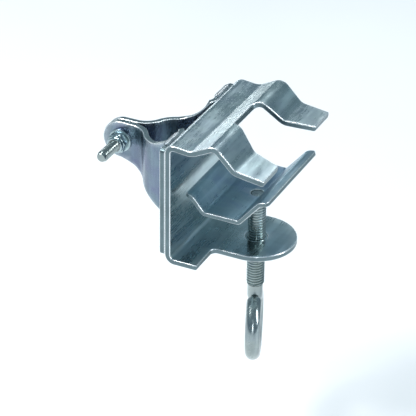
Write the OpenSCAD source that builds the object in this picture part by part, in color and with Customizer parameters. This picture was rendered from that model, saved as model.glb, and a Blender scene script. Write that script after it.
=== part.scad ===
// Pipe clamp: a pressed hook bracket grips a horizontal barrel between its forked upper jaw
// and a saddle on a clamp screw, and a bolted collar on its back holds an upright tube.
// Origin: on the upright tube's axis, level with the barrel's axis.
// +Z up, +X out of the jaw's mouth, Y along the barrel. Millimetres.

/* [Tubes] */
// Outside diameter of the horizontal barrel in the jaw
barrel_d = 48.3; // [48:0.1:50]
// Distance between the barrel's axis and the upright tube's axis
barrel_x = 53; // [52.5:0.1:53.5]
// Outside diameter of the upright tube in the collar
upright_d = 38.1; // [38:0.1:38.2]

/* [Hook bracket] */
// Width of the bracket along the barrel
bracket_w = 110; // [106:1:116]
// Thickness of the bracket's plate
plate_t = 4; // [3.5:0.1:4.5]
// Height of the bracket's top bend above the barrel's axis
top_z = 30; // [29:0.5:32]
// Depth of the lower plate's underside below the barrel's axis
bottom_z = 63; // [62:0.5:66]
// How far the lower plate stays at full width
step_x = 43; // [40:1:46]
// Half width of the round tongue that carries the screw
tongue_r = 28.5; // [27.5:0.5:30]
// Reach of the upper fingers' tips
tip_x = 91.3; // [88:0.1:94]
// Half width of the fork's window at its closed end
window_root = 17; // [14:0.5:19]
// Half width of the fork's window at the fingers' tips
window_tip = 31; // [26:0.5:33]
// Where the fork's window begins
window_x = 52; // [50:0.5:54]

/* [Saddle] */
// Length of the saddle along the barrel
saddle_l = 82; // [70:1:90]
// Thickness of the saddle's plate
saddle_t = 3; // [2.5:0.1:3.5]
// Steepness of the saddle's two flanks
saddle_slope = 50; // [46:1:52]
// Reach of the saddle's outer lip
saddle_lip_x = 89; // [87.5:0.5:90.5]

/* [Clamp screw] */
// Distance of the screw's axis from the upright tube's axis
screw_x = 63; // [62:0.1:63.5]
// Outside diameter of the thread, half an inch
screw_d = 12.7; // [12:0.1:12.7]
// Diameter of the plain rod that forms the eye
rod_d = 11; // [10:0.1:11.5]
// Radius of the eye, to the middle of the rod
eye_r = 21.5; // [19:0.5:23]
// Depth of the eye's centre below the barrel's axis
eye_z = 131.5; // [130:0.5:136]
// Depth of the thread's lower end below the barrel's axis
thread_end = 99.5; // [96:0.5:102]
// Direction of the eye's plane, turned from +X
eye_turn = 111.5; // [0:0.5:180]
// Width across the flats of the nut under the tongue
jaw_nut_af = 19.05; // [18:0.05:20.8]
// Height of the nut under the tongue
jaw_nut_h = 10; // [8:0.5:11]

/* [Collar] */
// Thickness of the collar halves' plate
collar_t = 4; // [3.5:0.1:4.2]
// Gap between the two ears
ear_gap = 1; // [0.6:0.1:2]
// Distance of the bolt's axis behind the upright tube's axis
bolt_back = 41; // [41:0.5:43]
// Depth of the bolt's axis below the barrel's axis
bolt_drop = 6.5; // [5:0.5:9]
// Radius of the ears' round ends
ear_r = 14; // [12:0.5:14]
// Angle that each half wraps round the upright tube
wrap = 60; // [58:0.5:61]
// Radius of the bend from the wrap to the foot, to the middle of the plate
foot_bend = 6; // [5:0.5:8]
// Height of the top of the collar's feet
foot_top = 25; // [22:0.5:25]
// Depth of the bottom of the collar's feet
foot_bottom = 57; // [54:0.5:58]

/* [Collar bolt] */
// Diameter of the bolt that closes the ears
bolt_d = 8; // [8:0.1:8.2]
// Length of the bolt under its head
bolt_l = 40; // [35:1:45]
// Width across the flats of the bolt's head and nut
bolt_af = 13; // [12.5:0.1:13]
// Outside diameter of the washers
washer_d = 17; // [16:0.5:18]
// Thickness of the washers
washer_t = 1.6; // [1.2:0.1:2]
// Height of the lock nut, without its nylon collar
nut_h = 6.2; // [5.5:0.1:7]

/* [Hidden] */
$fn = 64;

bend_steps = 12;
barrel_r = barrel_d / 2;
upright_r = upright_d / 2;
half_w = bracket_w / 2;
run_fit = 0.07;

// Bracket profile, to the middle of the plate, from the tongue's end to the fingers' tips
web_x = upright_r + plate_t / 2;
floor_z = -bottom_z + plate_t / 2;
tongue_x = screw_x + tongue_r;
flank_gap = barrel_r + plate_t / 2 + 0.15;
apex = [barrel_x + 2.5, (flank_gap + 0.5 - 2.5 * sin(45.5)) / cos(45.5) - 0.8];
tip_root = [apex[0] + 14.4, apex[1] - 14.7];
bracket_path = [[tongue_x, floor_z], [web_x, floor_z], [web_x, top_z - plate_t / 2],
                [38, top_z - 3.9], apex, tip_root, [tip_x, tip_root[1] - 3]];
bracket_bends = [5, 4.5, 14, 6, 9];

// Saddle profile, to the middle of the plate, from the web's side to the outer lip
flank_n = [sin(saddle_slope), -cos(saddle_slope)];
saddle_gap = barrel_r + saddle_t / 2 + 0.1;
saddle_floor = -(barrel_r + 0.15) - saddle_t / 2;
saddle_rise = 18;
saddle_spare = 2.5;
saddle_back_rise = 10.7;
function flank_x(z) = (saddle_gap + z * cos(saddle_slope)) / sin(saddle_slope);
saddle_path = [[barrel_x - flank_x(saddle_floor + saddle_back_rise) - 4.6, saddle_floor + saddle_back_rise + 0.9],
               [barrel_x - flank_x(saddle_floor + saddle_back_rise), saddle_floor + saddle_back_rise],
               [barrel_x - flank_x(saddle_floor), saddle_floor],
               [barrel_x + flank_x(saddle_floor) + saddle_spare, saddle_floor],
               [barrel_x + flank_x(saddle_floor + saddle_rise) + saddle_spare, saddle_floor + saddle_rise],
               [saddle_lip_x, saddle_floor + saddle_rise + 1.6]];
saddle_bends = [4, 4, 3, 5];
saddle_under = saddle_floor - saddle_t / 2;

// Clamp screw
screw_r = screw_d / 2;
rod_r = rod_d / 2;
spigot_r = 3.5;
rivet_r = 4.5;
rivet_t = 0.9;
rivet_seat_r = 4.8;
rivet_seat = saddle_floor;
saddle_washer_r = 9.5;
saddle_washer_t = 1.5;
shoulder_z = saddle_under - saddle_washer_t - 0.3;
neck_r = 7;
neck_angle = acos(neck_r / (eye_r + neck_r));
neck_z = -eye_z + (eye_r + neck_r) * sin(neck_angle);
neck_lap = 5;
eye_end = 104;
pilot_r = 7.8;

// Collar
wrap_r = upright_r + collar_t / 2 - 0.2;
ear_y = (ear_gap + collar_t) / 2;
ear_bend = (wrap_r * cos(wrap) - ear_y) / (1 - cos(wrap));
foot_x = upright_r - collar_t / 2;
wrap_start = wrap_r * [-sin(wrap), -cos(wrap)];
wrap_heading = [cos(wrap), -sin(wrap)];
collar_path = [[-bolt_back - ear_r - 1, -ear_y],
               wrap_start - wrap_heading * ear_bend * tan(wrap / 2),
               wrap_start + wrap_heading * wrap_r * tan(wrap / 2),
               [foot_x, -wrap_r], [foot_x, -half_w]];
collar_bends = [ear_bend, wrap_r, foot_bend];
ear_top = ear_r - bolt_drop;
ear_bottom = -ear_r - bolt_drop;
weld_r = 2.4;
weld_end = 5;

// Collar bolt, along Y
ear_face = ear_gap / 2 + collar_t;
bolt_r = bolt_d / 2;
bolt_seat = ear_face + washer_t;
head_h = 5.3;
insert_h = 2.2;
insert_r = 5.6;

function left(u) = [-u[1], u[0]];
function dir(p, q) = (q - p) / norm(q - p);
function turn(u, v) = atan2(u[0] * v[1] - u[1] * v[0], u * v);
function reversed(list) = [for (i = [len(list) - 1 : -1 : 0]) list[i]];
function on_curve(a, b, c, k) = a * (1 - k) * (1 - k) + 2 * b * k * (1 - k) + c * k * k;
function curve(a, b, c, n) = [for (i = [0 : n]) on_curve(a, b, c, i / n)];
function arc(c, r, from, to, n) =
    [for (i = [0 : n]) let (w = from + (to - from) * i / n) c + r * [cos(w), sin(w)]];

// One side of a round bend at b between straights from a and to c, d to the left of the middle line
function bend(a, b, c, r, d) =
    let (u = dir(a, b), t = turn(u, dir(b, c)), s = sign(t))
    let (centre = b - u * r * tan(abs(t) / 2) + left(u) * s * r, start = atan2(-s * left(u)[1], -s * left(u)[0]))
    [for (i = [0 : bend_steps]) let (w = start + t * i / bend_steps) centre + (r - s * d) * [cos(w), sin(w)]];

// One side of a bent strip, d to the left of its middle line
function side(path, radii, d) =
    let (n = len(path))
    concat([path[0] + left(dir(path[0], path[1])) * d],
           [for (i = [1 : n - 2]) each bend(path[i - 1], path[i], path[i + 1], radii[i - 1], d)],
           [path[n - 1] + left(dir(path[n - 2], path[n - 1])) * d]);

// Outline of a strip of plate of thickness t, bent round the corners of a path
module strip(path, radii, t) {
    polygon(concat(side(path, radii, t / 2), reversed(side(path, radii, -t / 2))));
}

// A profile drawn in X and Z, extruded along Y between two values
module along_y(y0, y1) {
    translate([0, y1, 0]) rotate([90, 0, 0]) linear_extrude(y1 - y0) children();
}

// Plan of the forked upper jaw, seen from above
module jaw_plan() {
    difference() {
        translate([0, -half_w]) square([tip_x + 10, bracket_w]);
        offset(r = 5) offset(delta = -5)
            polygon([[window_x, -window_root], [tip_x + 12, -window_tip - 4],
                     [tip_x + 12, window_tip + 4], [window_x, window_root]]);
    }
}

// Plan of the lower plate: full width at the web, then the round tongue
module floor_plan() {
    offset(r = -4) offset(delta = 4) {
        translate([0, -half_w]) square([step_x, bracket_w]);
        translate([step_x - 1, -tongue_r]) square([screw_x - step_x + 1, 2 * tongue_r]);
        translate([screw_x, 0]) circle(tongue_r, $fn = 96);
    }
}

module hook_bracket() {
    color([0.70, 0.75, 0.78])
    difference() {
        intersection() {
            along_y(-half_w, half_w) strip(bracket_path, bracket_bends, plate_t);
            union() {
                linear_extrude(top_z + 20) jaw_plan();
                translate([0, 0, -bottom_z - 1]) linear_extrude(bottom_z + 1) floor_plan();
            }
        }
        translate([screw_x, 0, -bottom_z - 1]) cylinder(h = plate_t + 2, r = pilot_r + run_fit);
    }
}

// Side view of a collar half: round ear at the back, flaring to the foot on the web
module collar_side() {
    polygon(concat(arc([-bolt_back, -bolt_drop], ear_r, 270, 90, 30),
                   curve([-8, ear_top], [7, ear_top + 3], [foot_x - 2, foot_top], 12),
                   [[upright_r + 1, foot_top], [upright_r + 1, -foot_bottom]],
                   curve([foot_x - 2, -foot_bottom], [-18, -27], [-bolt_back + 1, ear_bottom], 16)));
}

module collar_half() {
    difference() {
        intersection() {
            translate([0, 0, -70]) linear_extrude(110) strip(collar_path, collar_bends, collar_t);
            along_y(-half_w - 1, 0) collar_side();
        }
        translate([0, 0, -80]) cylinder(h = 130, r = upright_r, $fn = 96);
        translate([-bolt_back, 0, -bolt_drop]) rotate([90, 0, 0]) cylinder(h = 12, r = bolt_r + 0.5);
    }
}

module near_collar() {
    color([0.62, 0.67, 0.72]) collar_half();
}

module far_collar() {
    color([0.62, 0.67, 0.72]) mirror([0, 1, 0]) collar_half();
}

// Weld beads along the top and bottom edges of one foot
module foot_welds() {
    for (z = [foot_top, -foot_bottom])
        translate([upright_r - weld_r, -half_w + weld_end, z]) rotate([-90, 0, 0])
            cylinder(h = half_w - weld_end - wrap_r - foot_bend - 2, r = weld_r, $fn = 24);
}

module foot_weld_beads() {
    difference() {
        foot_welds();
        translate([0, -half_w, -foot_bottom]) cube([upright_r + 1, half_w, foot_top + foot_bottom]);
    }
}

module near_collar_weld() {
    color([0.55, 0.58, 0.60]) foot_weld_beads();
}

module far_collar_weld() {
    color([0.55, 0.58, 0.60]) mirror([0, 1, 0]) foot_weld_beads();
}

// Hexagon prism of width af across its flats
module hexagon(af, h) {
    cylinder(h = h, r = af / 2 / cos(30), $fn = 6);
}

module jaw_nut() {
    color([0.66, 0.70, 0.72])
    translate([screw_x, 0, 0])
    difference() {
        union() {
            translate([0, 0, -bottom_z - jaw_nut_h]) rotate([0, 0, 15]) hexagon(jaw_nut_af, jaw_nut_h);
            translate([0, 0, -bottom_z - 1]) cylinder(h = plate_t + 0.8, r = pilot_r);
        }
        translate([0, 0, -bottom_z - jaw_nut_h - 1]) cylinder(h = jaw_nut_h + plate_t + 2, r = screw_r + run_fit);
    }
}

module jaw_nut_weld() {
    color([0.55, 0.58, 0.60])
    translate([screw_x, 0, 0])
    difference() {
        translate([0, 0, -bottom_z - 3]) cylinder(h = 3, r1 = jaw_nut_af / 2 + 1.6, r2 = jaw_nut_af / 2 + 4.4);
        translate([0, 0, -bottom_z - 4]) rotate([0, 0, 15]) hexagon(jaw_nut_af, 5);
    }
}

module saddle() {
    color([0.62, 0.72, 0.80])
    difference() {
        along_y(-saddle_l / 2, saddle_l / 2) strip(saddle_path, saddle_bends, saddle_t);
        translate([screw_x, 0, saddle_under - 1]) cylinder(h = saddle_t + 2, r = spigot_r + run_fit);
        translate([screw_x, 0, rivet_seat]) cylinder(h = saddle_t, r = rivet_seat_r);
    }
}

module saddle_washer() {
    color([0.66, 0.70, 0.72])
    translate([screw_x, 0, saddle_under - saddle_washer_t])
    difference() {
        cylinder(h = saddle_washer_t, r = saddle_washer_r);
        translate([0, 0, -1]) cylinder(h = saddle_washer_t + 2, r = spigot_r + run_fit);
    }
}

// A length of rod bent to radius r, starting at angle start, in the plane of the eye
module bent_rod(r, start, sweep, rod) {
    rotate(start) rotate_extrude(angle = sweep) translate([r, 0]) circle(rod, $fn = 32);
}

// The bent rod under the thread: a neck that swings aside, and the eye it closes into
module eye() {
    translate([neck_r, neck_z]) bent_rod(neck_r, 180 - neck_lap, neck_angle + 2 * neck_lap, rod_r - 0.2);
    translate([0, -eye_z]) bent_rod(eye_r, eye_end, 360 - eye_end + neck_angle, rod_r);
}

module clamp_screw() {
    color([0.72, 0.75, 0.76])
    translate([screw_x, 0, 0]) {
        translate([0, 0, rivet_seat + 0.3]) cylinder(h = rivet_t, r = rivet_r);
        translate([0, 0, shoulder_z - 1]) cylinder(h = rivet_seat + 1 - shoulder_z + rivet_t, r = spigot_r);
        translate([0, 0, shoulder_z - 1.2]) cylinder(h = 1.2, r1 = screw_r, r2 = screw_r - 1.2);
        translate([0, 0, -thread_end]) cylinder(h = thread_end + shoulder_z - 1.2, r = screw_r);
        translate([0, 0, neck_z - 0.5]) cylinder(h = 1.5 - thread_end - neck_z, r = rod_r);
        rotate([0, 0, eye_turn]) rotate([90, 0, 0]) eye();
    }
}

// Place a piece on the bolt's axis, with its own +Z towards the bolt's threaded end
module on_bolt(y) {
    translate([-bolt_back, y, -bolt_drop]) rotate([90, 0, 0]) children();
}

module collar_bolt() {
    color([0.70, 0.73, 0.75]) {
        on_bolt(bolt_seat) cylinder(h = bolt_l - 1, r = bolt_r);
        on_bolt(bolt_seat - bolt_l + 1) cylinder(h = 1, r1 = bolt_r, r2 = bolt_r - 0.9);
        on_bolt(bolt_seat + head_h) hexagon(bolt_af, head_h);
    }
}

module ring(h, outer, inner) {
    difference() {
        cylinder(h = h, r = outer);
        translate([0, 0, -1]) cylinder(h = h + 2, r = inner);
    }
}

module bolt_washer() {
    color([0.66, 0.70, 0.72]) on_bolt(bolt_seat) ring(washer_t, washer_d / 2, bolt_r + 0.3);
}

module nut_washer() {
    color([0.66, 0.70, 0.72]) on_bolt(-ear_face) ring(washer_t, washer_d / 2, bolt_r + run_fit);
}

module collar_nut() {
    color([0.72, 0.75, 0.76])
    on_bolt(-bolt_seat)
    difference() {
        union() {
            rotate([0, 0, 10]) hexagon(bolt_af, nut_h);
            cylinder(h = nut_h + insert_h, r = insert_r + 0.6);
        }
        translate([0, 0, -1]) cylinder(h = nut_h + 2, r = bolt_r + run_fit);
        translate([0, 0, nut_h]) cylinder(h = insert_h + 1, r = insert_r);
    }
}

module nut_insert() {
    color([0.85, 0.87, 0.88]) on_bolt(-bolt_seat - nut_h) ring(insert_h - 0.2, insert_r, bolt_r + run_fit);
}

hook_bracket();
near_collar();
far_collar();
near_collar_weld();
far_collar_weld();
jaw_nut();
jaw_nut_weld();
saddle();
saddle_washer();
clamp_screw();
collar_bolt();
bolt_washer();
nut_washer();
collar_nut();
nut_insert();
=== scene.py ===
"""Pipe clamp: zinc-plated plates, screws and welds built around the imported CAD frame.

Shapes are worked out in millimetres, in the CAD frame, and turned into metres as each mesh is made.
"""
import math

import bpy
import numpy as np
from mathutils import Matrix, Vector
from mathutils.geometry import delaunay_2d_cdt


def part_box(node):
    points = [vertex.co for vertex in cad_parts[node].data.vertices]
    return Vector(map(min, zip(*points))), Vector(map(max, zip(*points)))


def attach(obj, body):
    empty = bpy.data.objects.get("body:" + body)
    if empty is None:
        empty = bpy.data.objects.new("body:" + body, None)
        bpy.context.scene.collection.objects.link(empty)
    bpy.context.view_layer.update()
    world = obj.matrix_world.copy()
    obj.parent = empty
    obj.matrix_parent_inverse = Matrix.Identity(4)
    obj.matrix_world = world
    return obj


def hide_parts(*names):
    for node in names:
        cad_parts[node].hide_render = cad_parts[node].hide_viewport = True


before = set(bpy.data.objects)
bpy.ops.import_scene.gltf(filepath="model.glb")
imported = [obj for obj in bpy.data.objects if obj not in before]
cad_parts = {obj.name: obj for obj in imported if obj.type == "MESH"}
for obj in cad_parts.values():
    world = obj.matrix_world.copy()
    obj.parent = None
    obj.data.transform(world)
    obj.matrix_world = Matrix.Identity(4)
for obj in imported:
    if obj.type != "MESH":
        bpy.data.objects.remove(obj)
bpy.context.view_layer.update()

MM = 0.001


def box_mm(node):
    """Lowest and highest corners of a CAD node, in millimetres."""
    low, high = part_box(node)
    return np.array(low) / MM, np.array(high) / MM


# ---------------------------------------------------------------- sizes, in millimetres

bracket_low, bracket_high = box_mm("hook_bracket")

# The two tubes that the clamp holds, and the bracket
UPRIGHT_R = 19.05
BARREL_X = 53.0
BARREL_R = 24.15
PLATE_T = 4.0
HALF_W = bracket_high[1]
TOP_Z = 30.0
BRACKET_FOOT = bracket_low[2]
SCREW_X = 63.0
TONGUE_R = 28.5
STEP_X = 43.0
TIP_X = 91.3
WINDOW_X = 52.0
WINDOW_ROOT = 17.0
WINDOW_TIP = 30.8
# Steepness of the jaw's inner flank, and how far its crown stands beyond the barrel's axis
FLANK_RISE = math.radians(45.5)
APEX_ASIDE = 2.5

# The saddle
SADDLE_T = 3.0
SADDLE_HALF = box_mm("saddle")[1][1]
SADDLE_SLOPE = math.radians(50)
SADDLE_LIP_X = 89.0
# How much further out the outer flank stands than one that touches the barrel
SADDLE_SPARE = 2.5

# The clamp screw, its eye and its nut
SCREW_R = 6.35
SCREW_PITCH = 25.4 / 12
SCREW_THREAD_DEPTH = 1.25
SCREW_TOP = box_mm("clamp_screw")[1][2]
SHOULDER_Z = -29.1
ROD_R = 5.5
ROD_SIDES = 40
SPIGOT_R = 3.5
EYE_R = 21.5
EYE_Z = 131.5
THREAD_END = -99.5
EYE_TURN = math.radians(111.5)
EYE_END = math.radians(104)
NECK_R = 7.0
THRUST_Z = box_mm("saddle_washer")[0][2]
NUT_AF = 19.05
NUT_H = 10
NUT_SPIN = math.radians(15)
PILOT_R = 7.8
# Play between a thread and its bore, and between the pilot and its hole
RUN_FIT = 0.07

# The collar, its bolt and its lock nut
EAR_GAP = 1.0
COLLAR_T = 4.0
BOLT_X = -41.0
BOLT_Z = -6.5
EAR_R = 14.0
WRAP = math.radians(60)
FOOT_BEND = 6.0
FOOT_TOP = 25.0
FOOT_BOTTOM = -57.0

BOLT_R = 4.0
BOLT_PITCH = 1.25
BOLT_THREAD_DEPTH = 0.72
BOLT_L = 40.0
BOLT_AF = 13.0
HEAD_H = 5.3
SHANK_L = 17
LOCK_NUT_H = 6.2
WASHER_R = 8.5
WASHER_T = 1.6
# Distance from the middle of the ears to the seat of the head or the nut
BOLT_SEAT = EAR_GAP / 2 + COLLAR_T + WASHER_T


# ---------------------------------------------------------------- plane curves

def unit(v):
    return v / np.linalg.norm(v)


def left(u):
    return np.array([-u[1], u[0]])


def spun(arm, w):
    """An arm turned anticlockwise by the angle w."""
    return np.array([arm[0] * math.cos(w) - arm[1] * math.sin(w),
                     arm[0] * math.sin(w) + arm[1] * math.cos(w)])


def turn_between(u, v):
    """The angle from one direction to the next, positive anticlockwise."""
    return math.atan2(u[0] * v[1] - u[1] * v[0], u @ v)


def on_circle(centre, radius, degrees):
    """Points at the given angles round a circle."""
    return [np.array(centre) + radius * np.array([math.cos(a), math.sin(a)]) for a in np.radians(degrees)]


class Bent:
    """Middle line of a bent plate: straights joined by round bends, measured by the length s along it."""

    def __init__(self, corners, radii):
        corners = [np.array(c, float) for c in corners]
        self.parts = []
        self.length = 0.0
        here = corners[0]
        for i, radius in enumerate(radii, start=1):
            u, v = unit(corners[i] - corners[i - 1]), unit(corners[i + 1] - corners[i])
            turn = turn_between(u, v)
            cut = radius * math.tan(abs(turn) / 2)
            start = corners[i] - u * cut
            self._add(("straight", here, u), np.linalg.norm(start - here))
            centre = start + left(u) * math.copysign(radius, turn)
            self._add(("bend", centre, start - centre, turn), radius * abs(turn))
            here = corners[i] + v * cut
        last = unit(corners[-1] - corners[-2])
        self._add(("straight", here, last), np.linalg.norm(corners[-1] - here))

    def _add(self, part, length):
        if length > 0.001:
            self.parts.append((self.length, length, part))
            self.length += length

    def at(self, s):
        """The point on the middle line at s, and the direction along it."""
        for s0, length, part in self.parts:
            if s <= s0 + length or part is self.parts[-1][2]:
                break
        k = s - s0
        if part[0] == "straight":
            return part[1] + part[2] * k, part[2]
        _, centre, arm, turn = part
        reach = spun(arm, turn * k / length)
        return centre + reach, left(unit(reach)) * math.copysign(1, turn)

    def rows(self, flat_step, bend_step):
        """Values of s: wide steps along the straights, and one each bend_step radians round the bends."""
        values = [0.0]
        for s0, length, part in self.parts:
            count = length / flat_step if part[0] == "straight" else abs(part[3]) / bend_step
            count = max(1, math.ceil(count))
            values += [s0 + length * (i + 1) / count for i in range(count)]
        return values

    def s_where(self, axis, value, near):
        """The s beyond near at which a coordinate of the middle line first passes a value."""
        steps = np.linspace(near, self.length, 1500)
        track = [self.at(s)[0][axis] - value for s in steps]
        for a, b, fa, fb in zip(steps, steps[1:], track, track[1:]):
            if fa * fb <= 0:
                return a + (b - a) * abs(fa) / max(abs(fa) + abs(fb), 1e-9)
        raise ValueError("the middle line never gets there")


def rounded(corners, radii, step=math.radians(12)):
    """A polygon with each corner replaced by an arc of its own radius. A radius of 0 keeps the corner."""
    out = []
    corners = [np.array(c, float) for c in corners]
    for i, (c, r) in enumerate(zip(corners, radii)):
        u = unit(c - corners[i - 1])
        v = unit(corners[(i + 1) % len(corners)] - c)
        turn = turn_between(u, v)
        if r == 0 or abs(turn) < 1e-3:
            out.append(c)
            continue
        start = c - u * r * math.tan(abs(turn) / 2)
        centre = start + left(u) * math.copysign(r, turn)
        arm = start - centre
        count = max(2, math.ceil(abs(turn) / step))
        out += [centre + spun(arm, turn * k / count) for k in range(count + 1)]
    return out


def hole_at(centre, radius, count=48):
    """A clockwise circle, the way round that a hole's outline runs."""
    turns = [-2 * math.pi * i / count for i in range(count)]
    return [np.array(centre) + radius * np.array([math.cos(a), math.sin(a)]) for a in turns]


def dense(loop, step):
    """The same polygon with points added so that none of its sides is longer than step."""
    out = []
    for a, b in zip(loop, loop[1:] + loop[:1]):
        count = max(1, math.ceil(np.linalg.norm(b - a) / step))
        out += [a + (b - a) * i / count for i in range(count)]
    return out


def cut_at_rows(loop, rows):
    """The same polygon with a point added wherever a side crosses one of the rows."""
    out = []
    for a, b in zip(loop, loop[1:] + loop[:1]):
        out.append(a)
        crossed = [r for r in rows if (a[0] - r) * (b[0] - r) < 0]
        for r in sorted(crossed, reverse=b[0] < a[0]):
            k = (r - a[0]) / (b[0] - a[0])
            if 0.02 < k * np.linalg.norm(b - a) and (1 - k) * np.linalg.norm(b - a) > 0.02:
                out.append(a + (b - a) * k)
    return out


def outward(loop):
    """The outward direction at each point of a loop that keeps the plate on its left."""
    out = []
    for i, p in enumerate(loop):
        u = unit(p - loop[i - 1])
        v = unit(loop[(i + 1) % len(loop)] - p)
        mean = -left(unit(u + v))
        out.append(mean / max(0.5, mean @ -left(u)))
    return out


# ---------------------------------------------------------------- meshes

def mesh_object(name, verts, faces, normals=None, edge=None, face_slots=None):
    """A mesh from points in millimetres, with its own smooth normals and an attribute called edge that places
    painted edge highlights and painted shade.
    """
    mesh = bpy.data.meshes.new(name)
    mesh.from_pydata([tuple(np.array(v) * MM) for v in verts], [], [tuple(int(i) for i in f) for f in faces])
    mesh.shade_smooth()
    if edge is not None:
        mesh.attributes.new("edge", "FLOAT", "POINT").data.foreach_set("value", np.array(edge, np.float32))
    if face_slots is not None:
        mesh.polygons.foreach_set("material_index", face_slots)
    mesh.validate()
    if normals is not None:
        mesh.normals_split_custom_set_from_vertices([tuple(n) for n in normals])
    mesh.update()
    obj = bpy.data.objects.new(name, mesh)
    bpy.context.scene.collection.objects.link(obj)
    return obj


def sharpen(obj, degrees):
    """Smooth shading that breaks at edges sharper than an angle."""
    obj.data.set_sharp_from_angle(angle=math.radians(degrees))


# Spacing of a plate's points: along its straights, round its bends, and across it
FLAT_STEP = 9.0
BEND_STEP = math.radians(5)
ACROSS_STEP = 3.0


def edge_section(half, edge_r):
    """The rolled edge from the upper face to the lower: inset, height and lean of each ring of points."""
    upper = [(edge_r * (1 - math.cos(a)), half - edge_r * (1 - math.sin(a)), a)
             for a in np.radians([90, 60, 30, 0])]
    return upper + [(inset, -height, -a) for inset, height, a in reversed(upper)]


def points_inside(loops, rows):
    """Points along the rows, spread evenly between the sides that each row crosses."""
    out = []
    for s in rows[1:-1]:
        crossings = []
        for points in loops:
            for a, b in zip(points, points[1:] + points[:1]):
                if (a[0] > s) != (b[0] > s):
                    crossings.append(a[1] + (b[1] - a[1]) * (s - a[0]) / (b[0] - a[0]))
        crossings.sort()
        for low, high in zip(crossings[::2], crossings[1::2]):
            count = math.floor((high - low) / ACROSS_STEP)
            if count > 1:
                out += [np.array([s, low + (high - low) * (i + 1) / (count + 1)]) for i in range(count)]
    return out


def inside_loops(point, loops):
    """Whether a point lies on the plate, by counting the sides above it."""
    hits = 0
    for points in loops:
        a = np.array(points)
        b = np.roll(a, -1, axis=0)
        spans = (a[:, 0] > point[0]) != (b[:, 0] > point[0])
        if spans.any():
            p, q = a[spans], b[spans]
            height = p[:, 1] + (q[:, 1] - p[:, 1]) * (point[0] - p[:, 0]) / (q[:, 0] - p[:, 0])
            hits += int((height > point[1]).sum())
    return hits % 2 == 1


def filled(loops, inside):
    """Triangles that fill the loops, as indices into the loops' points followed by the points inside."""
    flat, sides = [], []
    for points in loops:
        base = len(flat)
        flat += points
        sides += [(base + i, base + (i + 1) % len(points)) for i in range(len(points))]
    flat += inside
    _, _, triangles, origins, _, _ = delaunay_2d_cdt([Vector(p) for p in flat], sides, [], 0, 1e-5)
    triangles = [[origins[i][0] for i in corners] for corners in triangles]
    return [tri for tri in triangles if inside_loops(sum(flat[i] for i in tri) / 3, loops)]


def plate(name, path, loops, thickness, place, edge_r):
    """A bent plate with rolled edges.

    loops are outlines on the flat blank, in (s, w): the outside anticlockwise, then any holes clockwise.
    place(point, w) turns a point of the middle line's plane and a distance across it into three dimensions.
    """
    rows = path.rows(FLAT_STEP, BEND_STEP)
    loops = [cut_at_rows(dense(loop, ACROSS_STEP), rows) for loop in loops]
    half = thickness / 2
    section = edge_section(half, edge_r)
    verts, normals, edge, faces, slots = [], [], [], [], []

    def add(point, height, lean, out, edge_light_mask):
        """A point of the blank at a height in the plate. Its normal leans from out towards the face."""
        s = min(max(point[0], 0.0), path.length)
        middle, along = path.at(s)
        middle = middle + along * (point[0] - s)
        up = left(along)
        verts.append(place(middle + up * height, point[1]))
        flat = place(along, 0) * out[0] + (place(along, 1) - place(along, 0)) * out[1]
        normals.append(unit(flat * math.cos(lean) + place(up, 0) * math.sin(lean)))
        edge.append(edge_light_mask)
        return len(verts) - 1

    rims = {1: [], -1: []}
    flat_loops = []
    for loop in loops:
        out = outward(loop)
        rings = []
        for inset, height, lean in section:
            # The edge attribute: 1 across the middle of the rim, where painted shade goes, and 0.35 at the
            # rolled corners and the faces' borders, where a painted highlight goes
            edge_light_mask = 1.0 if abs(lean) < 0.3 else 0.35
            rings.append([add(p - o * inset, height, lean, unit(o), edge_light_mask) for p, o in zip(loop, out)])
        for upper, lower in zip(rings, rings[1:]):
            for i in range(len(loop)):
                j = (i + 1) % len(loop)
                faces.append((upper[i], lower[i], lower[j], upper[j]))
                slots.append(1)
        rims[1] += rings[0]
        rims[-1] += rings[-1]
        flat_loops.append([p - o * edge_r for p, o in zip(loop, out)])

    # Both faces share one set of triangles
    inside = points_inside(flat_loops, rows)
    triangles = filled(flat_loops, inside)
    for side in (1, -1):
        index = rims[side] + [add(p, side * half, side * math.pi / 2, (1, 0), 0.0) for p in inside]
        for a, b, c in triangles:
            a, b, c = index[a], index[b], index[c]
            faces.append((a, b, c) if side == 1 else (a, c, b))
            slots.append(0)

    # A placement that mirrors the blank would leave its faces inside out
    plane = [place(np.array(p), w) for p, w in (((1.0, 0.0), 0), ((0.0, 0.0), 1), ((0.0, 1.0), 0))]
    if np.linalg.det(np.array(plane)) < 0:
        faces = [face[::-1] for face in faces]
    return mesh_object(name, verts, faces, normals, edge, slots)


def at_angle(size, a):
    """A size that may be a number or a function of the angle."""
    return size(a) if callable(size) else size


def turned(rings, count=96, closed=False):
    """A surface round the Z axis from rings of (radius, height), where either may be a function of the angle.

    closed joins the last ring to the first; otherwise both ends are capped.
    """
    verts = []
    for radius, height in rings:
        for i in range(count):
            a = 2 * math.pi * i / count
            r = at_angle(radius, a)
            verts.append((r * math.cos(a), r * math.sin(a), at_angle(height, a)))
    faces = []
    pairs = list(range(len(rings) - 1)) + ([len(rings) - 1] if closed else [])
    for k in pairs:
        m = (k + 1) % len(rings)
        for i in range(count):
            j = (i + 1) % count
            faces.append((k * count + i, k * count + j, m * count + j, m * count + i))
    if not closed:
        faces.append(tuple(range(count))[::-1])
        faces.append(tuple((len(rings) - 1) * count + i for i in range(count)))
    return verts, faces


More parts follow.
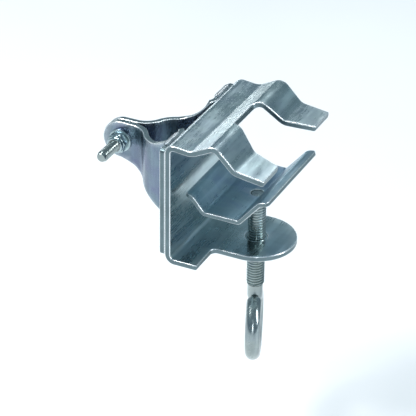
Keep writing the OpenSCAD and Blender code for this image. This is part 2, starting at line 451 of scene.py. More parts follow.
def swept(points, radius, sides):
    """The side wall of a tube along points, and the direction at its far end.

    radius is a function of the share of the points passed.
    """
    points = [np.array(p, float) for p in points]
    verts, faces = [], []
    normal = None
    for i, p in enumerate(points):
        along = unit(points[min(i + 1, len(points) - 1)] - points[max(i - 1, 0)])
        if normal is None:
            # Any direction that the tube does not start along
            normal = unit(np.cross(along, [0.3, 0.9, 0.1]))
        normal = unit(normal - along * (normal @ along))
        other = np.cross(along, normal)
        r = radius(i / (len(points) - 1))
        for k in range(sides):
            a = 2 * math.pi * k / sides
            verts.append(p + r * (normal * math.cos(a) + other * math.sin(a)))
    for i in range(len(points) - 1):
        for k in range(sides):
            m = (k + 1) % sides
            faces.append((i * sides + k, i * sides + m, (i + 1) * sides + m, (i + 1) * sides + k))
    return verts, faces, along


def move(verts, matrix):
    return [np.array(matrix @ Vector(v)) for v in verts]


def joined(*parts):
    """One list of points and faces from several."""
    verts, faces = [], []
    for v, f in parts:
        base = len(verts)
        verts += list(v)
        faces += [tuple(base + i for i in face) for face in f]
    return verts, faces


# ---------------------------------------------------------------- plates

def in_xz(point, w):
    """Profiles drawn in X and Z, with the width along Y."""
    return np.array([point[0], w, point[1]])


def in_xy(point, w):
    """Profiles drawn in X and Y, with the width along Z."""
    return np.array([point[0], point[1], w])


def bracket_path():
    """From the tongue's end along the lower plate, up the web and over the crown to the fingers' tips."""
    flank_gap = BARREL_R + PLATE_T / 2 + 0.15
    web_x = UPRIGHT_R + PLATE_T / 2
    lower_z = BRACKET_FOOT + PLATE_T / 2
    apex_z = (flank_gap + 0.5 - APEX_ASIDE * math.sin(FLANK_RISE)) / math.cos(FLANK_RISE) - 0.8
    apex = (BARREL_X + APEX_ASIDE, apex_z)
    root = (apex[0] + 14.4, apex[1] - 14.7)
    return Bent([(SCREW_X + TONGUE_R, lower_z), (web_x, lower_z), (web_x, TOP_Z - PLATE_T / 2),
                 (38, TOP_Z - 3.9), apex, root, (TIP_X, root[1] - 3)], [5, 4.5, 14, 6, 9])


def hook_bracket():
    """The bracket's blank: the round tongue, the full-width web, and the fork with its window."""
    path = bracket_path()
    step_s = SCREW_X + TONGUE_R - STEP_X
    window_s = path.s_where(0, WINDOW_X, path.length / 2)
    end_s = path.length
    arc = on_circle((TONGUE_R, 0.0), TONGUE_R, np.arange(180, 271, 3))
    near = rounded([(TONGUE_R, -TONGUE_R), (step_s, -TONGUE_R), (step_s, -HALF_W), (end_s, -HALF_W),
                    (end_s, -WINDOW_TIP), (window_s, -WINDOW_ROOT), (window_s, 0)], [0, 4, 1.2, 1.5, 2, 6, 0])
    lower = arc[1:-1] + near[:-1]
    upper = [p * (1, -1) for p in reversed(lower)]
    outline = lower + [near[-1]] + upper + [np.array([0.0, 0.0])]
    hole = hole_at((TONGUE_R, 0), PILOT_R + RUN_FIT)
    return plate("plate_hook_bracket", path, [outline, hole], PLATE_T, in_xz, 0.7)


def saddle_path():
    """From the saddle's short back lip, under the barrel, to the lip along its outer edge."""
    gap = BARREL_R + SADDLE_T / 2 + 0.1
    low = -(BARREL_R + 0.15) - SADDLE_T / 2
    back, front = low + 10.7, low + 18
    outer_x = BARREL_X + SADDLE_SPARE

    def flank_x(z):
        """How far from the barrel's axis a flank that touches the barrel stands at the height z."""
        return (gap + z * math.cos(SADDLE_SLOPE)) / math.sin(SADDLE_SLOPE)

    return Bent([(BARREL_X - flank_x(back) - 4.6, back + 0.9), (BARREL_X - flank_x(back), back),
                 (BARREL_X - flank_x(low), low), (outer_x + flank_x(low), low),
                 (outer_x + flank_x(front), front), (SADDLE_LIP_X, front + 1.6)], [4, 4, 3, 5])


def saddle():
    """The saddle's blank: a rectangle with the hole that the screw's spigot turns in."""
    path = saddle_path()
    end = path.length
    corners = [(0, -SADDLE_HALF), (end, -SADDLE_HALF), (end, SADDLE_HALF), (0, SADDLE_HALF)]
    outline = rounded(corners, [3, 3, 3, 3])
    hole = hole_at((path.s_where(0, SCREW_X, 20), 0), SPIGOT_R + 1.2)
    return plate("plate_saddle", path, [outline, hole], SADDLE_T, in_xz, 0.5)


def collar_path():
    """From the ear's end, round the upright on the near side, to the foot's outer edge."""
    wrap_r = UPRIGHT_R + COLLAR_T / 2
    ear_y = (EAR_GAP + COLLAR_T) / 2
    ear_bend = (wrap_r * math.cos(WRAP) - ear_y) / (1 - math.cos(WRAP))
    foot_x = UPRIGHT_R - COLLAR_T / 2
    start = wrap_r * np.array([-math.sin(WRAP), -math.cos(WRAP)])
    heading = np.array([math.cos(WRAP), -math.sin(WRAP)])
    reach = math.tan(WRAP / 2)
    return Bent([(BOLT_X - EAR_R, -ear_y), start - heading * ear_bend * reach,
                 start + heading * wrap_r * reach, (foot_x, -wrap_r), (foot_x, -HALF_W)],
                [ear_bend, wrap_r, FOOT_BEND])


def on_curve(a, b, c, k):
    """The point at the share k of a curve from a to c that b pulls towards itself."""
    return a * (1 - k) ** 2 + 2 * b * k * (1 - k) + c * k * k


def collar(name, side):
    """One half of the collar: side is -1 for the near half and 1 for the far half."""
    path = collar_path()
    ear_top, ear_bottom = BOLT_Z + EAR_R, BOLT_Z - EAR_R
    flare_x = UPRIGHT_R - COLLAR_T

    def blank(curve_points, steps):
        """A curve drawn in the side view, carried onto the flat blank."""
        a, b, c = (np.array(p, float) for p in curve_points)
        out = []
        for k in np.linspace(0, 1, steps):
            x, z = on_curve(a, b, c, k)
            out.append(np.array([path.s_where(0, min(x, flare_x), 0), z]))
        return out

    s_ear = path.s_where(0, BOLT_X, 0)
    bottom = blank([(BOLT_X, ear_bottom), (-18, -27), (flare_x, FOOT_BOTTOM)], 26)
    top = blank([(flare_x, FOOT_TOP), (7, ear_top + 3), (-8, ear_top)], 22)
    foot = rounded([bottom[-1] + (0.5, 0), (path.length, FOOT_BOTTOM), (path.length, FOOT_TOP),
                    top[0] + (0.5, 0)], [0, 2.5, 2.5, 0])
    ear = on_circle((s_ear, BOLT_Z), EAR_R, np.arange(90, 271, 6))
    outline = bottom + foot + top + ear[:-1]
    hole = hole_at((s_ear, BOLT_Z), BOLT_R + 0.5, 36)

    def place(point, w):
        return in_xy(np.array([point[0], -side * point[1]]), w)

    return plate(name, path, [outline, hole], COLLAR_T, place, 0.6)


# ---------------------------------------------------------------- screws, nuts and washers

# One turn of a rolled thread: share of the pitch, share of the depth
THREAD_FORM = [(0.0, 0.0), (0.08, 0.02), (0.30, 0.75), (0.42, 1.0),
               (0.5, 1.0), (0.58, 1.0), (0.70, 0.75), (0.92, 0.02)]


def thread(z_low, z_high, r_out, depth, pitch, start_taper=1.5, end_taper=1.5, sides=48):
    """A right-hand thread whose crest and root follow the helix, fading to the root at both ends."""
    per_turn = len(THREAD_FORM)
    turns = int((z_high - z_low) / pitch) + 2
    verts, faces = [], []
    for k in range(turns):
        for share, height in THREAD_FORM:
            for i in range(sides):
                a = 2 * math.pi * i / sides
                z = z_low + (k - 1 + share + i / sides) * pitch
                z = min(max(z, z_low), z_high)
                fade = min(1.0, (z - z_low) / (start_taper * pitch), (z_high - z) / (end_taper * pitch))
                r = r_out - depth * (1 - height * max(0.0, fade))
                verts.append((r * math.cos(a), r * math.sin(a), z))
    rings = turns * per_turn
    for k in range(rings - 1):
        for i in range(sides):
            j = (i + 1) % sides
            # Where the ring closes, the helix has climbed one turn
            m = k + per_turn if j == 0 else k
            if m + 1 < rings:
                faces.append((k * sides + i, m * sides + j, (m + 1) * sides + j, (k + 1) * sides + i))
    return verts, faces


def hexagon_radius(af, spin=0.0):
    """Distance from the axis to a hexagon's side, as a function of the angle."""
    def radius(a):
        w = (a - spin) % (math.pi / 3) - math.pi / 6
        return af / 2 / math.cos(w)
    return radius


def hex_body(af, height, spin=0.0, chamfer_top=True):
    """Rings of a hexagon, from its foot up, with its corners turned off at 30 degrees."""
    side = hexagon_radius(af, spin)
    turned_r = af / 2 * 0.985
    slope = math.tan(math.radians(30))
    soft = 0.25

    def low(a):
        return max(0.0, (side(a) - turned_r) * slope)

    def high(a):
        return height - low(a) if chamfer_top else height

    def end_face(a):
        return min(side(a), turned_r) - 0.02

    def eased(a):
        return side(a) - soft * 0.6

    return [(turned_r - 0.4, 0.0), (end_face, 0.0), (eased, lambda a: low(a) + 0.02),
            (side, lambda a: low(a) + soft), (side, lambda a: high(a) - soft),
            (eased, lambda a: high(a) - 0.02), (end_face, height), (turned_r - 0.4, height)]


def raised(rings, z):
    """The same rings, moved up by z."""
    return [(r, lambda a, h=h: z + at_angle(h, a)) for r, h in rings]


def washer_rings(inner, outer, thickness, soft=0.3):
    """Rings of a flat washer with a rolled outer edge, from the bore's top round to the bore's foot."""
    return [(inner, 0.15), (inner + 0.15, 0.0), (outer - soft, 0.0), (outer - soft * 0.3, soft * 0.3),
            (outer, soft), (outer, thickness - soft), (outer - soft * 0.3, thickness - soft * 0.3),
            (outer - soft, thickness), (inner + 0.15, thickness), (inner, thickness - 0.15)]


def eye_points():
    """The middle line of the bent rod: down from the thread, round the neck, then round the eye."""
    neck_angle = math.acos(NECK_R / (EYE_R + NECK_R))
    neck_z = -EYE_Z + (EYE_R + NECK_R) * math.sin(neck_angle)
    line = [(0.0, THREAD_END + z) for z in (1.5, 0.8, 0.0, -2.0, -4.0, -6.0)] + [(0.0, neck_z)]
    for w in np.linspace(0, neck_angle, 12)[1:]:
        line.append((NECK_R * (1 - math.cos(w)), neck_z - NECK_R * math.sin(w)))
    for w in np.linspace(neck_angle, EYE_END - 2 * math.pi, 96)[1:]:
        line.append((EYE_R * math.cos(w), -EYE_Z + EYE_R * math.sin(w)))
    along = np.array([math.cos(EYE_TURN), math.sin(EYE_TURN), 0])
    return [along * h + np.array([0, 0, z]) for h, z in line]


def bent_rod():
    """The plain rod and its eye, with a small chamfer round its cut end."""
    def thinned(k):
        """The rod's radius, a little less where the bend of the neck stretches it."""
        return ROD_R - 0.12 * math.exp(-((k - 0.06) / 0.03) ** 2)

    points = eye_points()
    verts, faces, ahead = swept(points, thinned, ROD_SIDES)
    rim = verts[-ROD_SIDES:]
    for inset, depth in ((0.12, 0.22), (0.5, 0.42)):
        base = len(verts)
        verts += [points[-1] + (v - points[-1]) * (1 - inset / ROD_R) + ahead * depth for v in rim]
        for k in range(ROD_SIDES):
            m = (k + 1) % ROD_SIDES
            faces.append((base - ROD_SIDES + k, base - ROD_SIDES + m, base + m, base + k))
    faces.append(tuple(range(len(verts) - ROD_SIDES, len(verts))))
    faces.append(tuple(range(ROD_SIDES))[::-1])
    return verts, faces


def clamp_screw():
    """Riveted spigot, shoulder, rolled thread, and the rod bent into an eye."""
    core = SCREW_R - SCREW_THREAD_DEPTH
    body = thread(THREAD_END, SHOULDER_Z, SCREW_R, SCREW_THREAD_DEPTH, SCREW_PITCH)
    rivet = [(4.3, -0.85), (4.5, -0.6), (4.3, -0.25), (3.4, -0.05), (1.2, 0)]
    head = turned([(SPIGOT_R, SHOULDER_Z - 0.2), (SPIGOT_R, SCREW_TOP - 1.0)]
                  + [(r, SCREW_TOP + z) for r, z in rivet], 48)
    shoulder = turned([(core - 1.5, SHOULDER_Z - 1.0), (core, SHOULDER_Z - 0.9), (core, SHOULDER_Z - 0.35),
                       (core - 0.35, SHOULDER_Z), (SPIGOT_R - 0.4, SHOULDER_Z)], 48)
    verts, faces = joined(body, head, shoulder, bent_rod())
    obj = mesh_object("screw_and_eye", move(verts, Matrix.Translation((SCREW_X, 0, 0))), faces)
    sharpen(obj, 40)
    return obj


def jaw_nut():
    """Hexagon under the tongue with a round pilot that fills the hole in it."""
    low = BRACKET_FOOT - NUT_H
    bore = SCREW_R + RUN_FIT
    pilot_top = BRACKET_FOOT + 3.8
    rings = [(bore, low + 0.8), (bore + 0.8, low)] + raised(hex_body(NUT_AF, NUT_H, NUT_SPIN), low)
    rings += [(PILOT_R, BRACKET_FOOT), (PILOT_R, pilot_top - 0.5), (7.45, pilot_top - 0.08),
              (bore + 0.5, pilot_top), (bore, pilot_top - 0.5)]
    verts, faces = turned(rings, closed=True)
    obj = mesh_object("nut_under_tongue", move(verts, Matrix.Translation((SCREW_X, 0, 0))), faces)
    sharpen(obj, 35)
    return obj


def on_bolt(y):
    """Places a piece on the bolt's axis, with its own +Z towards the threaded end."""
    return Matrix.Translation((BOLT_X, y, BOLT_Z)) @ Matrix.Rotation(math.pi / 2, 4, "X")


def collar_bolt():
    """Hexagon head, plain shank, rolled thread and a chamfered tip."""
    neck = HEAD_H + SHANK_L
    tip = HEAD_H + BOLT_L
    head = turned(hex_body(BOLT_AF, HEAD_H, chamfer_top=False))
    shank = turned([(BOLT_R - 0.1, 5.0), (BOLT_R, 5.4), (BOLT_R, neck), (BOLT_R - 0.62, neck + 1)], 48)
    helix = thread(neck, tip - 1.2, BOLT_R, BOLT_THREAD_DEPTH, BOLT_PITCH, 1.0, 1.2, 40)
    end = turned([(BOLT_R - 0.72, tip - 3.0), (BOLT_R - 0.7, tip - 0.5), (BOLT_R - 1.15, tip)], 48)
    verts, faces = joined(head, shank, helix, end)
    obj = mesh_object("bolt_through_ears", move(verts, on_bolt(BOLT_SEAT + HEAD_H)), faces)
    sharpen(obj, 35)
    return obj


def collar_nut():
    """Lock nut: hexagon with a rolled collar that holds the nylon ring."""
    top = LOCK_NUT_H
    bore = BOLT_R + RUN_FIT
    rings = [(bore, 0.6), (bore + 0.6, 0.0)] + hex_body(BOLT_AF, top, math.radians(10))[:-1]
    rings += [(6.2, top + 0.02), (6.2, top + 1.3), (5.95, top + 1.9), (5.35, top + 2.2),
              (4.75, top + 2.15), (4.7, top + 1.8), (5.55, top + 1.5), (5.55, top), (bore, top)]
    verts, faces = turned(rings, closed=True)
    obj = mesh_object("lock_nut", move(verts, on_bolt(-BOLT_SEAT)), faces)
    sharpen(obj, 35)
    return obj


def nut_insert():
    """The nylon ring in the lock nut's rolled collar."""
    bore = BOLT_R + RUN_FIT
    rings = [(bore, 0.25), (BOLT_R + 0.3, 0.0), (5.5, 0.0), (5.5, 1.45), (4.72, 1.75),
             (BOLT_R + 0.4, 1.95), (bore, 1.6)]
    verts, faces = turned(rings, 64, closed=True)
    obj = mesh_object("nylon_ring", move(verts, on_bolt(-BOLT_SEAT - LOCK_NUT_H)), faces)
    sharpen(obj, 50)
    return obj


def flat_washer(name, matrix, inner, outer, thickness):
    """A washer from its bore's radius, its outer radius and its thickness, placed by a matrix."""
    verts, faces = turned(washer_rings(inner, outer, thickness), 72, closed=True)
    obj = mesh_object(name, move(verts, matrix), faces)
    sharpen(obj, 50)
    return obj


# ---------------------------------------------------------------- welds

# Spacing of the ripples along a bead
RIPPLE = 1.9


def bead(start, finish, up, out, width, height, seed):
    """A rippled weld bead laid from start to finish in a corner between the directions up and out."""
    rng = np.random.default_rng(seed)
    start, finish, up, out = (np.array(v, float) for v in (start, finish, up, out))
    length = np.linalg.norm(finish - start)
    along = (finish - start) / length
    steps, sides = int(length / 0.3), 20
    wander = rng.normal(0, 0.12, steps + 1)
    wander = np.convolve(wander, np.ones(9) / 9, "same")
    verts, faces = [], []
    for i in range(steps + 1):
        k = i / steps
        d = k * length
        end = math.sqrt(max(0.0, 1 - (2 * k - 1) ** 10))
        phase = (d / RIPPLE + wander[i]) % 1.0
        scallop = 1 + 0.13 * math.sin(math.pi * phase) - 0.05
        for j in range(sides):
            a = 2 * math.pi * j / sides
            lag = 0.55 * math.cos(a)
            r = scallop * max(end, 0.08)
            p = start + along * (d - lag * 0.6 * end)
            p = p + up * math.sin(a) * height * r + out * math.cos(a) * width * r
            verts.append(p + out * wander[i] * 0.8)
    for i in range(steps):
        for j in range(sides):
            m = (j + 1) % sides
            faces.append((i * sides + j, i * sides + m, (i + 1) * sides + m, (i + 1) * sides + j))
    faces.append(tuple(range(sides))[::-1])
    faces.append(tuple(steps * sides + j for j in range(sides)))
    return verts, faces


def foot_weld(name, node, side, seed):
    """The two beads along the top and bottom edges of one of the collar's feet."""
    low, high = box_mm(node)
    y0, y1 = (low[1], high[1]) if side == -1 else (high[1], low[1])
    x = (low[0] + high[0]) / 2
    toward = np.sign(y1 - y0)
    start, finish = y0 + toward * 0.8, y1 - toward * 0.8
    beads = []
    for z, up in ((FOOT_TOP + 0.1, 1), (FOOT_BOTTOM - 0.1, -1)):
        beads.append(bead((x, start, z), (x, finish, z), (0, 0, up), (1, 0, 0), 2.0, 1.75, seed + up))
    verts, faces = joined(*beads)
    return mesh_object(name, verts, faces)


def nut_weld():
    """A rippled bead round the nut, under the tongue."""
    rng = np.random.default_rng(5)
    count, sides = 220, 12
    verts, faces = [], []
    for i in range(count):
        a = 2 * math.pi * i / count
        hexagon = hexagon_radius(NUT_AF, NUT_SPIN)(a)
        ripple = 0.22 * abs(math.sin(a * 19)) + 0.08 * rng.normal()
        outer = 12.6 + ripple
        for j in range(sides):
            k = j / (sides - 1)
            bulge = math.sin(math.pi * k) * 0.55
            r = outer + (hexagon - 0.3 - outer) * k + bulge * 0.4
            z = BRACKET_FOOT + 0.05 - 2.7 * k - bulge
            verts.append((r * math.cos(a), r * math.sin(a), z))
    for i in range(count):
        m = (i + 1) % count
        for j in range(sides):
            n = (j + 1) % sides
            faces.append((i * sides + j, i * sides + n, m * sides + n, m * sides + j))
    return mesh_object("weld_jaw_nut", move(verts, Matrix.Translation((SCREW_X, 0, 0))), faces)


# ---------------------------------------------------------------- materials

class Nodes:
    """Short calls for building a material's node tree."""

    def __init__(self, name):
        self.material = bpy.data.materials.new(name)
        self.material.use_nodes = True
        self.tree = self.material.node_tree
        self.shader = self.tree.nodes["Principled BSDF"]
        self.place = self.add("ShaderNodeTexCoord").outputs["Object"]

    def add(self, kind, **values):
        node = self.tree.nodes.new(kind)
        for key, value in values.items():
            setattr(node, key, value)
        return node

    def link(self, a, b):
        self.tree.links.new(a, b)

    def scaled(self, scale):
        """Object coordinates stretched by a factor along each axis."""
        node = self.add("ShaderNodeMapping")
        node.inputs["Scale"].default_value = scale
        self.link(self.place, node.inputs["Vector"])
        return node.outputs["Vector"]

    def noise(self, scale, detail=3.0, rough=0.55, distortion=0.0, stretch=(1, 1, 1)):
        """Noise over the object's coordinates, each stretched by its own factor."""
        vector = self.scaled(stretch)
        node = self.add("ShaderNodeTexNoise")
        node.inputs["Scale"].default_value = scale
        node.inputs["Detail"].default_value = detail
        node.inputs["Roughness"].default_value = rough
        node.inputs["Distortion"].default_value = distortion
        self.link(vector, node.inputs["Vector"])
        return node.outputs["Fac"]

    def ramp(self, value, stops):
        """A colour that follows a value through stops of (position, colour)."""
        node = self.add("ShaderNodeValToRGB")
        ramp = node.color_ramp
        while len(ramp.elements) < len(stops):
            ramp.elements.new(0.5)
        for element, (position, colour) in zip(ramp.elements, stops):
            element.position = position
            element.color = (*colour, 1)
        self.link(value, node.inputs["Fac"])
        return node.outputs["Color"]

    def spread(self, value, low, high, from_low=0.3, from_high=0.7):
        """A value's span from from_low to from_high, carried onto low to high."""
        node = self.add("ShaderNodeMapRange")
        node.inputs["From Min"].default_value = from_low
        node.inputs["From Max"].default_value = from_high
        node.inputs["To Min"].default_value = low
        node.inputs["To Max"].default_value = high
        self.link(value, node.inputs["Value"])
        return node.outputs["Result"]

    def math(self, operation, a, b):
        node = self.add("ShaderNodeMath", operation=operation)
        for socket, value in zip(node.inputs, (a, b)):
            if isinstance(value, (int, float)):
                socket.default_value = value
            else:
                self.link(value, socket)
        return node.outputs[0]

    def mix(self, factor, a, b, blend="MIX"):
        node = self.add("ShaderNodeMix", data_type="RGBA", blend_type=blend)
        for socket, value in ((node.inputs[0], factor), (node.inputs[6], a), (node.inputs[7], b)):
            if isinstance(value, (int, float)):
                socket.default_value = value
            elif isinstance(value, tuple):
                socket.default_value = (*value, 1)
            else:
                self.link(value, socket)
        return node.outputs[2]

    def bump(self, height, strength, distance, after=None):
        node = self.add("ShaderNodeBump")
        node.inputs["Strength"].default_value = strength
        node.inputs["Distance"].default_value = distance
        self.link(height, node.inputs["Height"])
        if after is not None:
            self.link(after, node.inputs["Normal"])
        return node.outputs["Normal"]


def shade(colour, factor):
    """A colour made darker or lighter, no channel above 1."""
    return tuple(min(1.0, factor * c) for c in colour)


def zinc(name, tints, rough, grain, streak=0.2, paint_edge_highlight=False):
    """Bright zinc plating over rolled steel: passivation tints, rolling streaks, pits, and a painted
    highlight in broken patches along the edges of the faces.

    grain is small along the direction of rolling. The painted edge highlight needs the mesh's edge attribute.
    """
    n = Nodes(name)
    n.shader.inputs["Metallic"].default_value = 1.0
    patches = n.noise(26, 4, 0.55, 0.6)
    colour = n.ramp(patches, [(0.30, tints[0]), (0.47, tints[1]), (0.60, tints[2]), (0.75, tints[0])])
    cloud = n.noise(95, 5, 0.65)
    colour = n.mix(n.spread(cloud, 0.0, 0.35), colour, shade(tints[1], 0.72))
    long_grain = tuple(0.7 * g if g < 1 else g for g in grain)
    bands = n.noise(150, 2, 0.5, 0.25, long_grain)
    colour = n.mix(n.spread(bands, 0.0, 0.42, 0.48, 0.72), colour, shade(tints[1], 1.6))
    colour = n.mix(n.spread(bands, 0.22, 0.0, 0.30, 0.46), colour, shade(tints[0], 0.55))
    streaks = n.noise(900, 3, 0.6, stretch=grain)
    fine = n.noise(2600, 2, 0.5)
    spots = n.noise(420, 2, 0.5)
    smear = n.noise(38, 3, 0.6, 1.2, (1, 0.45, 0.7))
    roughness = n.math("ADD", n.spread(smear, rough[0], rough[1]), n.spread(streaks, -0.04, 0.06))
    roughness = n.math("ADD", roughness, n.spread(bands, -0.05, 0.06))
    roughness = n.math("ADD", roughness, n.spread(spots, 0.0, 0.10, 0.60, 0.72))
    if paint_edge_highlight:
        edge_light_mask = n.add("ShaderNodeAttribute", attribute_name="edge").outputs["Fac"]
        # Painted highlight: towards the edges of the faces the colour turns near white in broken patches
        edge_highlight_patches = n.math("MULTIPLY", edge_light_mask, n.spread(n.noise(160, 4, 0.6), 0.35, 1.0))
        colour = n.mix(edge_highlight_patches, colour, (0.80, 0.83, 0.84))
        roughness = n.math("ADD", roughness, n.math("MULTIPLY", edge_highlight_patches, 0.03))
    n.link(colour, n.shader.inputs["Base Color"])
    n.link(roughness, n.shader.inputs["Roughness"])
    normal = n.bump(streaks, streak, 0.00004)
    normal = n.bump(fine, 0.22, 0.00002, normal)
    normal = n.bump(n.noise(55, 2, 0.4), 0.35, 0.0006, normal)
    n.link(normal, n.shader.inputs["Normal"])
    return n.material


def sheared(name, tint):
    """The sheared rim of a plate: fine lines over it, a dark tint for painted shade across its middle, and a
    painted highlight where it rolls over to the faces.
    """
    n = Nodes(name)
    n.shader.inputs["Metallic"].default_value = 1.0
    lines = n.noise(1500, 3, 0.65)
    patches = n.noise(120, 3, 0.5)
    edge_light_mask = n.add("ShaderNodeAttribute", attribute_name="edge").outputs["Fac"]
    rolled_edge_highlight = n.spread(edge_light_mask, 1.0, 0.0, 0.4, 0.95)
    colour = n.mix(n.spread(patches, 0.0, 0.6), tint, shade(tint, 0.7))
    # Painted highlight: near white where the rim rolls over to the faces
    colour = n.mix(rolled_edge_highlight, colour, (0.86, 0.89, 0.90))
    roughness = n.math("ADD", n.spread(lines, 0.24, 0.44), n.math("MULTIPLY", rolled_edge_highlight, -0.06))
    n.link(colour, n.shader.inputs["Base Color"])
    n.link(roughness, n.shader.inputs["Roughness"])
    n.link(n.bump(lines, 0.45, 0.00008), n.shader.inputs["Normal"])
    return n.material


def weld_metal(name):
    """Plated weld metal: duller and more mottled than the plates."""
    n = Nodes(name)
    n.shader.inputs["Metallic"].default_value = 1.0
    patches = n.noise(210, 4, 0.6)
    colour = n.ramp(patches, [(0.35, (0.22, 0.26, 0.29)), (0.52, (0.36, 0.40, 0.42)),
                              (0.68, (0.28, 0.30, 0.31))])
    n.link(colour, n.shader.inputs["Base Color"])
    n.link(n.spread(n.noise(500, 3, 0.6), 0.28, 0.5), n.shader.inputs["Roughness"])
    n.link(n.bump(n.noise(1400, 3, 0.6), 0.4, 0.0001), n.shader.inputs["Normal"])
    return n.material


def nylon(name):
    """Natural nylon, slightly cloudy."""
    n = Nodes(name)
    cloud = n.noise(300, 3, 0.5)
    colour = n.mix(n.spread(cloud, 0, 1), (0.72, 0.76, 0.78), (0.84, 0.87, 0.88))
    n.link(colour, n.shader.inputs["Base Color"])
    n.link(n.spread(cloud, 0.32, 0.5), n.shader.inputs["Roughness"])
    n.link(n.bump(n.noise(1800, 2, 0.5), 0.2, 0.00005), n.shader.inputs["Normal"])
    return n.material


# The plating's tints are darkened and turned teal as painted reflection of dark, blue-green surroundings; the
# collar's tint is darker still, as painted shade on its near side
BLUE_GREY = ((0.31, 0.40, 0.42), (0.41, 0.51, 0.53), (0.35, 0.43, 0.48))
SHADED_VIOLET_GREY = ((0.12, 0.17, 0.21), (0.19, 0.25, 0.30), (0.17, 0.19, 0.29))
SKY = ((0.22, 0.35, 0.43), (0.30, 0.43, 0.50), (0.24, 0.34, 0.47))
SILVER = ((0.27, 0.33, 0.33), (0.36, 0.41, 0.40), (0.30, 0.35, 0.37))

# Directions of the grain: rolled along one axis, or the same all ways
ALONG_Y, ALONG_Z, EVEN = (1, 0.12, 1), (1, 1, 0.15), (1, 1, 1)

finish = {
    "bracket_zinc": zinc("zinc_bracket", BLUE_GREY, (0.20, 0.36), ALONG_Y, 0.25, paint_edge_highlight=True),
    "collar_zinc": zinc("zinc_collar", SHADED_VIOLET_GREY, (0.16, 0.32), ALONG_Z, 0.25, paint_edge_highlight=True),
    "saddle_zinc": zinc("zinc_saddle", SKY, (0.24, 0.40), ALONG_Y, 0.25, paint_edge_highlight=True),
    "screw_zinc": zinc("zinc_screw", SILVER, (0.12, 0.26), ALONG_Z, 0.15),
    "bolt_zinc": zinc("zinc_bolt", SILVER, (0.16, 0.30), (1, 0.15, 1)),
    "nut_zinc": zinc("zinc_nut", BLUE_GREY, (0.14, 0.28), EVEN),
    "washer_zinc": zinc("zinc_washer", BLUE_GREY, (0.22, 0.36), EVEN),
    "weld_bead": weld_metal("weld_metal"),
    "nylon": nylon("natural_nylon"),
}
# The sheared rim's dark tint is painted shade
RIM = sheared("sheared_rim", (0.17, 0.23, 0.25))


def dress(obj, body, slot, *nodes, rim=False):
    """Gives a piece its finish, its body and the CAD nodes it stands for."""
    obj.data.materials.append(finish[slot])
    if rim:
        obj.data.materials.append(RIM)
    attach(obj, body)
    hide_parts(*nodes)
    return obj


dress(hook_bracket(), "root", "bracket_zinc", "hook_bracket", rim=True)
dress(collar("plate_near_collar", -1), "root", "collar_zinc", "near_collar", rim=True)
dress(collar("plate_far_collar", 1), "root", "collar_zinc", "far_collar", rim=True)
dress(foot_weld("weld_near_collar", "near_collar_weld", -1, 11), "root", "weld_bead", "near_collar_weld")
dress(foot_weld("weld_far_collar", "far_collar_weld", 1, 23), "root", "weld_bead", "far_collar_weld")
dress(jaw_nut(), "root", "nut_zinc", "jaw_nut")
dress(nut_weld(), "root", "weld_bead", "jaw_nut_weld")
dress(saddle(), "saddle", "saddle_zinc", "saddle", rim=True)
dress(flat_washer("thrust_washer", Matrix.Translation((SCREW_X, 0, THRUST_Z)), SPIGOT_R + 0.1, 9.5, 1.5),
      "saddle", "washer_zinc", "saddle_washer")
dress(clamp_screw(), "screw", "screw_zinc", "clamp_screw")
dress(collar_bolt(), "bolt", "bolt_zinc", "collar_bolt")
dress(flat_washer("washer_under_head", on_bolt(BOLT_SEAT), BOLT_R + 0.3, WASHER_R, WASHER_T),
      "bolt", "washer_zinc", "bolt_washer")
dress(flat_washer("washer_under_nut", on_bolt(-BOLT_SEAT + WASHER_T), BOLT_R + 0.1, WASHER_R, WASHER_T),
      "nut_carrier", "washer_zinc", "nut_washer")
dress(collar_nut(), "lock_nut", "nut_zinc", "collar_nut")
dress(nut_insert(), "lock_nut", "nylon", "nut_insert")


# ---------------------------------------------------------------- floor, light and camera

def stage_floor():
    """A plain pale floor under the clamp."""
    size, z = 6.0, -0.215
    corners = [(-size, -size, z), (size, -size, z), (size, size, z), (-size, size, z)]
    mesh = bpy.data.meshes.new("floor")
    mesh.from_pydata(corners, [], [(0, 1, 2, 3)])
    floor = bpy.data.objects.new("floor", mesh)
    bpy.context.scene.collection.objects.link(floor)
    n = Nodes("floor_paint")
    colour = n.mix(n.spread(n.noise(3, 3, 0.5), 0, 1), (0.82, 0.83, 0.84), (0.86, 0.87, 0.88))
    n.link(colour, n.shader.inputs["Base Color"])
    n.shader.inputs["Roughness"].default_value = 0.7
    mesh.materials.append(n.material)


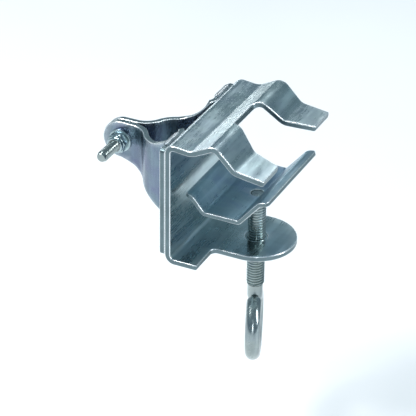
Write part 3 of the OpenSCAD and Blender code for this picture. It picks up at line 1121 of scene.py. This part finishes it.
def area_light(name, place, target, size, power, colour=(1, 1, 1)):
    """A rectangular lamp at place that faces target. size is in metres, power in watts."""
    lamp = bpy.data.lights.new(name, "AREA")
    lamp.shape = "RECTANGLE"
    lamp.size, lamp.size_y = size
    lamp.energy = power
    lamp.color = colour
    obj = bpy.data.objects.new(name, lamp)
    obj.location = place
    obj.rotation_euler = (Vector(target) - Vector(place)).to_track_quat("-Z", "Y").to_euler()
    bpy.context.scene.collection.objects.link(obj)


def lights():
    """A cool, pale surround, with lamps that the plates' faces and rolled edges pick up."""
    world = bpy.data.worlds.new("studio")
    world.use_nodes = True
    background = world.node_tree.nodes["Background"]
    background.inputs["Color"].default_value = (0.36, 0.50, 0.58, 1)
    background.inputs["Strength"].default_value = 0.68
    bpy.context.scene.world = world
    middle = (0.03, 0, -0.03)
    area_light("key", (-0.75, -0.55, 1.0), middle, (0.45, 0.45), 15)
    area_light("overhead", (-0.15, 0.6, 1.1), middle, (0.8, 0.3), 8)
    area_light("right_fill", (1.2, 0.1, 0.45), middle, (0.25, 0.8), 9, (0.94, 0.97, 1.0))
    area_light("back_rim", (-1.0, 0.95, 0.12), middle, (0.6, 0.10), 1.3)
    area_light("front_strip", (0.55, -1.15, 0.25), middle, (0.06, 0.5), 2.2)


# The photograph's focal length and width, both in its pixels
FOCAL_PX = 2128.9
IMAGE_PX = 416


def camera():
    """The photograph's viewpoint: 25.5 degrees round from the barrel, 30.6 degrees above it, a long lens."""
    place = Vector((0.5787, -1.1596, 0.7135))
    yaw, pitch, roll = (math.radians(a) for a in (25.512, 30.613, 0.713))
    right = Vector((math.cos(yaw), math.sin(yaw), 0))
    ahead = Vector((-math.sin(yaw), math.cos(yaw), 0))
    up = ahead * math.sin(pitch) + Vector((0, 0, math.cos(pitch)))
    view = ahead * math.cos(pitch) - Vector((0, 0, math.sin(pitch)))
    side = right * math.cos(roll) + up * math.sin(roll)
    above = up * math.cos(roll) - right * math.sin(roll)
    data = bpy.data.cameras.new("camera")
    data.sensor_width = 36
    data.lens = data.sensor_width * FOCAL_PX / IMAGE_PX
    obj = bpy.data.objects.new("camera", data)
    matrix = Matrix((side, above, -view)).transposed().to_4x4()
    matrix.translation = place
    obj.matrix_world = matrix
    bpy.context.scene.collection.objects.link(obj)
    bpy.context.scene.camera = obj


stage_floor()
lights()
camera()
bpy.context.scene.view_settings.view_transform = "Standard"
